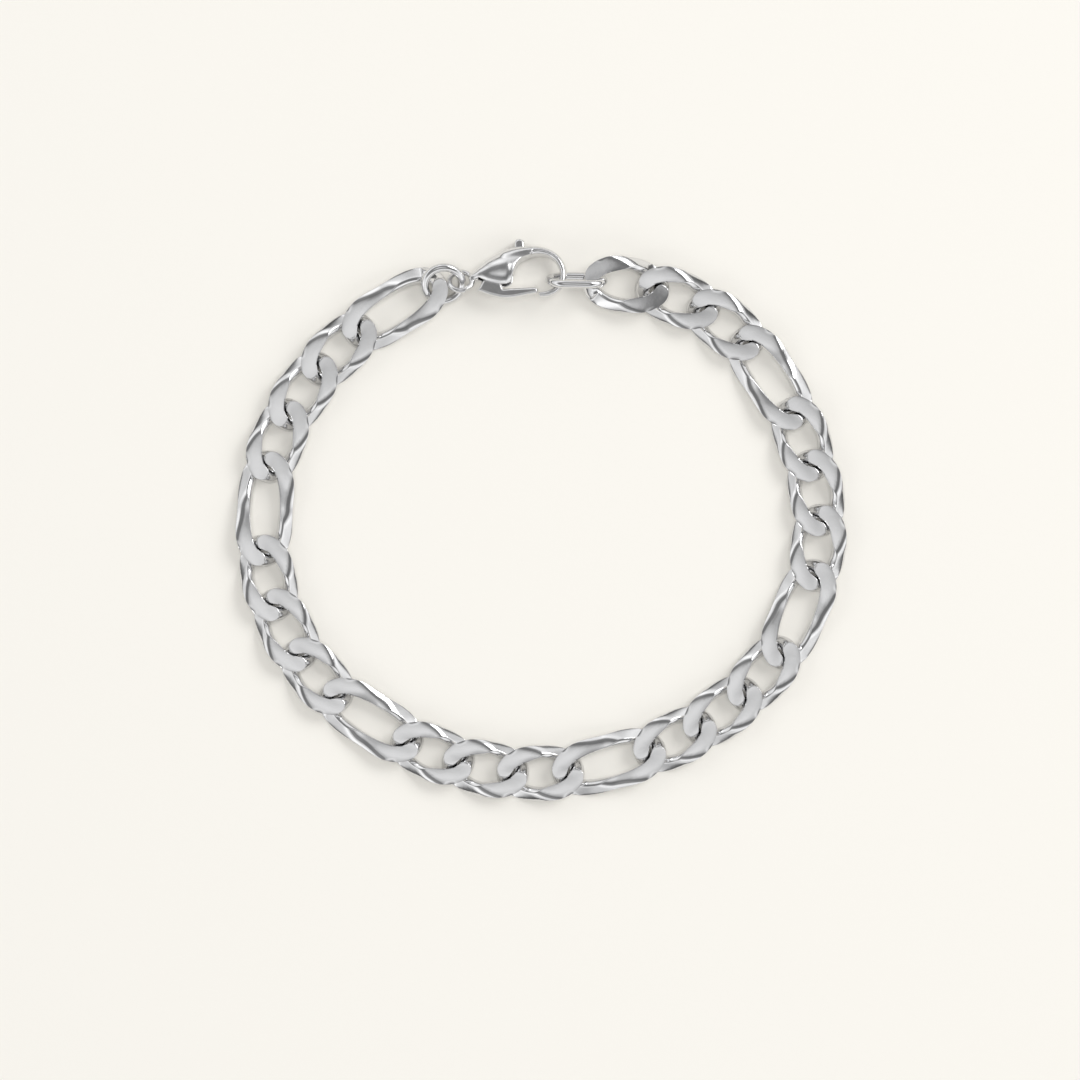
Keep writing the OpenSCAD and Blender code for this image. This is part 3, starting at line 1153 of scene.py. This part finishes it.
@dataclass
class Clasp:
    """The hook clasp: one casting, and a lever that turns on a pin inside it.

    Attributes:
        sizes: Sizes of the clasp.
        play: Free play of the round ring in the eye.
        layout: Where each piece lies.
        step: Cell size of its meshes.
        curves: Dense curves of the body, the hook and the front.
    """

    sizes: ClaspSizes
    play: float
    layout: Layout
    step: float = 0.075
    curves: dict[str, Array] = field(init=False)

    # Steps of the dense curves
    STEPS = 12
    HOOK_STEPS = 16
    # Widths over which forms blend
    NECK_BLEND = 0.2
    FRONT_BLEND = 0.14
    TIP_BLEND = 0.1
    HOOK_BLEND = 0.35
    EYE_BLEND = 0.25
    SLOT_BLEND = 0.08
    # Steepness of the front's fall
    FRONT_SLOPE = 0.8
    # Steps back from the hook's tip that give its direction, and how far its cut reaches
    TIP_STEPS = 3
    TIP_NEAR = 1.0
    # The slot's fan for the thumb tab: reach as a share of the length, spare degrees
    TAB_REACH = 0.5
    TAB_SPARE = 3
    # Its fan for the gate: reach, first angle, and degrees by which it stays short
    GATE_REACH = 0.29
    GATE_FROM = -153
    GATE_SHORT = 10
    FAN_POINTS = 9
    # Lowest and highest corners of the spaces that hold the casting and the lever
    CASTING_SPACE = ((-2.1, -2.7, -1.9), (13.1, 4.9, 1.9))
    LEVER_SPACE = ((1.4, -2.6, -0.75), (9.6, 5.6, 0.75))

    def __post_init__(self) -> None:
        """Works out the dense curves of the body, the hook and the front."""
        s = self.sizes
        scale = np.array([s.length, s.width, s.width, s.thick])
        self.curves = {
            "body": spline(np.array(s.body) * scale, self.STEPS),
            "hook": spline(np.array(s.hook) * scale, self.HOOK_STEPS),
            "front": spline(np.array(s.front) * scale[:2], self.STEPS)}

    def _body(self, at: Array) -> Array:
        """The swelling body, cut off along the front of the hook's mouth.

        Args:
            at: Places in the clasp's frame, with X, Y and Z first.

        Returns:
            Rough distances, below zero inside.
        """
        x, y, z = at
        rows = self.curves["body"]
        middle, wide, deep = (np.interp(x, rows[:, 0], rows[:, c]) for c in (1, 2, 3))
        level = np.hypot((y - middle) / wide, z / deep)
        body = (level - 1) * np.minimum(wide, deep)
        body = smooth_max(body, rows[0, 0] - x, self.NECK_BLEND)
        front = self.curves["front"]
        edge = np.interp(y, front[:, 1], front[:, 0])
        return smooth_max(body, (x - edge) * self.FRONT_SLOPE, self.FRONT_BLEND)

    def _hook(self, at: Array) -> Array:
        """The hook, an oval wire along its curve, cut square at its tip.

        Args:
            at: Places in the clasp's frame, with X, Y and Z first.

        Returns:
            Rough distances, below zero inside.
        """
        x, y, z = at
        rows = self.curves["hook"]
        best = np.full(x.shape, np.inf)
        nearest = np.zeros(x.shape, int)
        for i, (hx, hy) in enumerate(rows[:, :2]):
            gap = (x - hx) ** 2 + (y - hy) ** 2
            closer = gap < best
            best[closer] = gap[closer]
            nearest[closer] = i
        wide, deep = rows[nearest, 2], rows[nearest, 3]
        hook = (np.hypot(np.sqrt(best) / wide, z / deep) - 1) * np.minimum(wide, deep)
        tip, before = rows[-1, :2], rows[-1 - self.TIP_STEPS, :2]
        ahead = (tip - before) / np.linalg.norm(tip - before)
        past = (x - tip[0]) * ahead[0] + (y - tip[1]) * ahead[1]
        near_tip = np.hypot(x - tip[0], y - tip[1]) < self.TIP_NEAR
        return np.where(near_tip, smooth_max(hook, past, self.TIP_BLEND), hook)

    def _eye(self, at: Array) -> Array:
        """The eye, a round wire turned further than the clasp.

        Args:
            at: Places in the clasp's frame, with X, Y and Z first.

        Returns:
            Rough distances, below zero inside.
        """
        s = self.sizes
        x, y, z = at
        angle = math.radians(s.eye_turn)
        across = y * math.cos(angle) - z * math.sin(angle)
        high = y * math.sin(angle) + z * math.cos(angle)
        return np.hypot(np.hypot(x, across) - s.eye_r, high) - s.eye_wire / 2 + s.eye_spare

    def _slot(self, at: Array) -> Array:
        """All the room that the lever needs from shut to open.

        Args:
            at: Places in the clasp's frame, with X, Y and Z first.

        Returns:
            Rough distances, below zero inside.
        """
        s = self.sizes
        x, y, z = at
        flat = s.off_pin(x, y) - LeverShape.STEM_R - s.slot_gap
        back, fore = (s.bearing(share) for share in LeverShape.TAB)
        fans = ((fore - self.TAB_SPARE, back + s.swing + self.TAB_SPARE, self.TAB_REACH),
                (self.GATE_FROM, s.swing - self.GATE_SHORT, self.GATE_REACH))
        for start, end, far in fans:
            fan = [s.around(far * s.length, angle)
                   for angle in np.linspace(start, end, self.FAN_POINTS)]
            flat = np.minimum(flat, polygon_distance(x, y, np.array([s.pivot, *fan])))
        return np.maximum(flat, np.abs(z) - s.lever_t / 2 - s.slot_gap)

    def casting(self, at: Array) -> Array:
        """The whole casting: body, hook and eye in one, less the slot and the pin's seat.

        Args:
            at: Places in the clasp's frame, with X, Y and Z first.

        Returns:
            Rough distances, below zero inside.
        """
        s = self.sizes
        x, y, z = at
        solid = smooth_min(self._body(at), self._hook(at), self.HOOK_BLEND)
        solid = smooth_min(solid, self._eye(at), self.EYE_BLEND)
        solid = smooth_max(solid, -self._slot(at), self.SLOT_BLEND)
        seat = np.maximum(s.off_pin(x, y) - s.pin_d / 2 - s.pin_fit,
                          np.abs(z) - s.pin_l / 2 - s.pin_fit)
        roll = math.radians(s.roll)
        below = y * math.sin(roll) - z * math.cos(roll) - s.high
        return np.maximum.reduce([solid, -seat, below])

    def placed(self, points: Array) -> Array:
        """Moves points from the clasp's frame to where it lies.

        Args:
            points: The points, one row each.

        Returns:
            The points in the part's frame.
        """
        s, links = self.sizes, self.layout.links
        shifted = points + [s.eye_inside - self.play / 2, 0, 0]
        heading = self.layout.heading(links + 1) + 180
        rolled = turned(shifted, Axis.X, -s.roll)
        return turned(rolled, Axis.Z, heading) + [*self.layout.holds[links + 2], s.high]

    def build(self, casting: Material, tumbled: Material) -> None:
        """Adds the casting and the lever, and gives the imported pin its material.

        Args:
            casting: Material of the casting.
            tumbled: Material of the lever and its pin.
        """
        points, faces = SurfaceNet(*self.CASTING_SPACE, self.step).surface(self.casting)
        add_piece("clasp_casting", (self.placed(points), faces), casting,
                  "clasp_body")
        lever = LeverShape(self.sizes)
        points, faces = SurfaceNet(*self.LEVER_SPACE, self.step).surface(lever.solid)
        add_piece("clasp_lever_plate", (self.placed(points), faces), tumbled,
                  "clasp_lever", Body.LEVER)
        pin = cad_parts["clasp_pin"]
        pin.data.materials.clear()
        pin.data.materials.append(tumbled)
        LOG.info("clasp_pin: the packed pin, with the lever's material")


@dataclass
class LeverShape:
    """The lever: hub, thumb tab and gate, in the clasp's frame.

    Attributes:
        sizes: Sizes of the clasp.
        edge: Rounding of the plate's edges.
    """

    sizes: ClaspSizes
    edge: float = 0.34

    # Wall of the hub round the pin, and distance from the pin where the stem's sides bend
    HUB_WALL = 0.45
    STEM_R = 1.55
    # Both sides of the tab's foot and the tab's middle line, as shares of the clasp
    TAB = ((0.502, 0.610), (0.620, 0.615))
    TAB_LINE = ((0.562, 0.610), (0.558, 0.712))
    # Heel, belly and both sides of the gate, and the gate's end, as shares too
    HEEL = (0.180, -0.180)
    BELLY = (0.300, -0.300)
    GATE_LOW = (0.450, -0.345)
    GATE_HIGH = (0.400, -0.170)
    GATE_Y = -0.205
    # Radii of the rounded tab, heel and gate, and steps of the gate's lower curve
    TAB_R = 0.6
    HEEL_R = 0.2
    GATE_R = 0.38
    LOW_STEPS = 6

    def _flat(self, x: Array, y: Array) -> Array:
        """Distance from the lever's outline in the clasp's plane.

        Args:
            x: Places along the clasp.
            y: Places across it.

        Returns:
            Distances, below zero inside.
        """
        s = self.sizes
        hub = s.pin_d / 2 + self.HUB_WALL
        top, base = (s.place(share) for share in reversed(self.TAB_LINE))
        lean = top - base
        rise = np.clip(((x - base[0]) * lean[0] + (y - base[1]) * lean[1]) / (lean @ lean), 0, 1)
        back, fore = (s.bearing(share) for share in self.TAB)
        stem = np.array([
            s.around(hub, back + 90), s.around(self.STEM_R, back),
            *(s.place(share) for share in self.TAB),
            s.around(self.STEM_R, fore), s.around(hub, fore - 90)])
        end = np.array([s.hook[-1][0] * s.length - s.gate_gap - self.GATE_R,
                        self.GATE_Y * s.width])
        heel = s.place(self.HEEL)
        low = spline(np.array([
            s.around(hub, s.bearing(self.HEEL) - 90), heel + [-self.HEEL_R, 0],
            heel + [0, -self.HEEL_R], s.place(self.BELLY), s.place(self.GATE_LOW),
            end + [0, -self.GATE_R]]), self.LOW_STEPS)
        gate = np.vstack([low, end + [0, self.GATE_R], s.place(self.GATE_HIGH),
                          s.around(hub, s.bearing(self.GATE_HIGH) + 90)])
        flat = s.off_pin(x, y) - hub
        for outline in (stem, gate):
            flat = np.minimum(flat, polygon_distance(x, y, outline))
        thumb = np.hypot(x - base[0] - rise * lean[0], y - base[1] - rise * lean[1]) - self.TAB_R
        return np.minimum.reduce([flat, thumb, np.hypot(x - end[0], y - end[1]) - self.GATE_R])

    def solid(self, at: Array) -> Array:
        """The plate with rounded edges, less the pin's bore.

        Args:
            at: Places in the clasp's frame, with X, Y and Z first.

        Returns:
            Rough distances, below zero inside.
        """
        s = self.sizes
        x, y, z = at
        plate = smooth_max(self._flat(x, y), np.abs(z) - s.lever_t / 2, self.edge)
        bore = s.off_pin(x, y) - s.pin_d / 2 - s.pin_fit
        return np.maximum(plate, -bore)


# Floor, light and camera


@dataclass(frozen=True)
class Lamp:
    """A soft square lamp that looks at the part.

    Attributes:
        name: Its name.
        place: Where it hangs, in metres.
        size: Its side, in metres.
        power: Its power, in watts.
        mirrored: Whether the metal mirrors it.
    """

    name: str
    place: Corner
    size: float
    power: float
    mirrored: bool = True

    def hang(self) -> None:
        """Adds the lamp to the scene."""
        light = bpy.data.lights.new(self.name, "AREA")
        light.size = self.size
        light.energy = self.power
        lamp = bpy.data.objects.new(self.name, light)
        lamp.visible_glossy = self.mirrored
        lamp.location = self.place
        lamp.rotation_euler = (-Vector(self.place)).to_track_quat("-Z", "Y").to_euler()
        bpy.context.scene.collection.objects.link(lamp)


@dataclass(frozen=True)
class Studio:
    """A pale floor, soft light and a camera straight above.

    Attributes:
        scale: Millimetres to a pixel of the photograph.
        pixels: Width of the photograph.
        origin: Pixel at which the part's origin lies.
        lens: Focal length of the camera.
        floor_size: Side of the floor, in metres.
        sky_power: Brightness of the tent.
        lamps: One lamp at the side and one straight above.
        patchy: How far the tent's panels differ in brightness.
        patch_scale: How small those panels are.
    """

    scale: float = 0.12
    pixels: float = 1080.0
    origin: tuple[float, float] = (541.5, 520.0)
    lens: float = 150.0
    floor_size: float = 4.0
    sky_power: float = 1.03
    lamps: tuple[Lamp, ...] = (
        Lamp("key", (0.92, 0.64, 0.92), 0.7, 7.5),
        Lamp("top", (0.0, 0.0, 1.5), 0.8, 5.9, mirrored=False))
    patchy: float = 0.35
    patch_scale: float = 2.2

    # How far the floor lies below the bracelet, in millimetres
    FLOOR_DROP = 0.02
    # Range of the noise that makes the tent's panels, and its layers
    PATCH_RANGE = (0.3, 0.7)
    PATCH_DETAIL = 1.0
    # Clipping of the view, as a factor of the camera's height
    CLIP = 20
    # Brightness of the tent against the upward part of a direction
    TENT = ((0.0, 0.06), (0.10, 0.16), (0.22, 0.80), (0.50, 1.0), (0.64, 0.84),
            (0.76, 0.24), (0.92, 0.20), (0.972, 0.52), (1.0, 0.78))

    def floor(self) -> None:
        """Lays the floor."""
        half = self.floor_size / 2
        mesh = bpy.data.meshes.new("floor")
        mesh.from_pydata([(-half, -half, 0), (half, -half, 0), (half, half, 0),
                          (-half, half, 0)], [], [(0, 1, 2, 3)])
        floor = bpy.data.objects.new("floor", mesh)
        floor.location.z = -self.FLOOR_DROP * MM
        bpy.context.scene.collection.objects.link(floor)
        mesh.materials.append(FloorFinish().material())

    def sky(self) -> None:
        """Surrounds the scene with a pale tent, dimmer round the camera."""
        world = bpy.data.worlds.new("tent")
        bpy.context.scene.world = world
        world.use_nodes = True
        tree = world.node_tree
        place = tree.nodes.new("ShaderNodeTexCoord").outputs["Generated"]
        split = feed(tree, tree.nodes.new("ShaderNodeSeparateXYZ"), {"Vector": place})
        ramp = feed(tree, tree.nodes.new("ShaderNodeValToRGB"), {"Fac": split.outputs["Z"]})
        ramp.color_ramp.interpolation = "EASE"
        elements = ramp.color_ramp.elements
        while len(elements) < len(self.TENT):
            elements.new(0.5)
        for element, (rise, grey) in zip(elements, self.TENT):
            element.position = rise
            element.color = (grey, grey, grey, 1)
        patches = feed(tree, tree.nodes.new("ShaderNodeTexNoise"), {
            "Vector": place, "Scale": self.patch_scale, "Detail": self.PATCH_DETAIL})
        span = feed(tree, tree.nodes.new("ShaderNodeMapRange"), {
            "Value": patches.outputs["Fac"],
            "From Min": self.PATCH_RANGE[0], "From Max": self.PATCH_RANGE[1],
            "To Min": self.sky_power * (1 - self.patchy),
            "To Max": self.sky_power * (1 + self.patchy)})
        feed(tree, tree.nodes["Background"], {
            "Color": ramp.outputs["Color"], "Strength": span.outputs["Result"]})

    def camera(self) -> None:
        """Sets the camera straight above, to the photograph's frame."""
        data = bpy.data.cameras.new("camera")
        data.lens = self.lens
        camera = bpy.data.objects.new("camera", data)
        width = self.scale * self.pixels * MM
        high = width * self.lens / data.sensor_width
        middle = self.pixels / 2
        camera.location = ((middle - self.origin[0]) * self.scale * MM,
                           (self.origin[1] - middle) * self.scale * MM, high)
        data.clip_start = high / self.CLIP
        data.clip_end = high * self.CLIP
        bpy.context.scene.collection.objects.link(camera)
        bpy.context.scene.camera = camera

    def build(self) -> None:
        """Sets up the whole studio."""
        self.floor()
        self.sky()
        for lamp in self.lamps:
            lamp.hang()
        self.camera()
        bpy.context.scene.view_settings.view_transform = "Standard"


def main() -> None:
    """Builds the bracelet and its studio."""
    logging.basicConfig(level=logging.INFO, format="%(message)s")
    chain, rings, clasp = ChainSizes(), RingSizes(), ClaspSizes()
    layout = Layout(chain, rings, clasp)
    Chain(chain, rings, layout).build(LINK_FINISH.material())
    JumpRings(rings, layout).build(RING_FINISH.material())
    Clasp(clasp, rings.play, layout).build(CLASP_FINISH.material(), LEVER_FINISH.material())
    Studio().build()


if __name__ == "__main__":
    main()
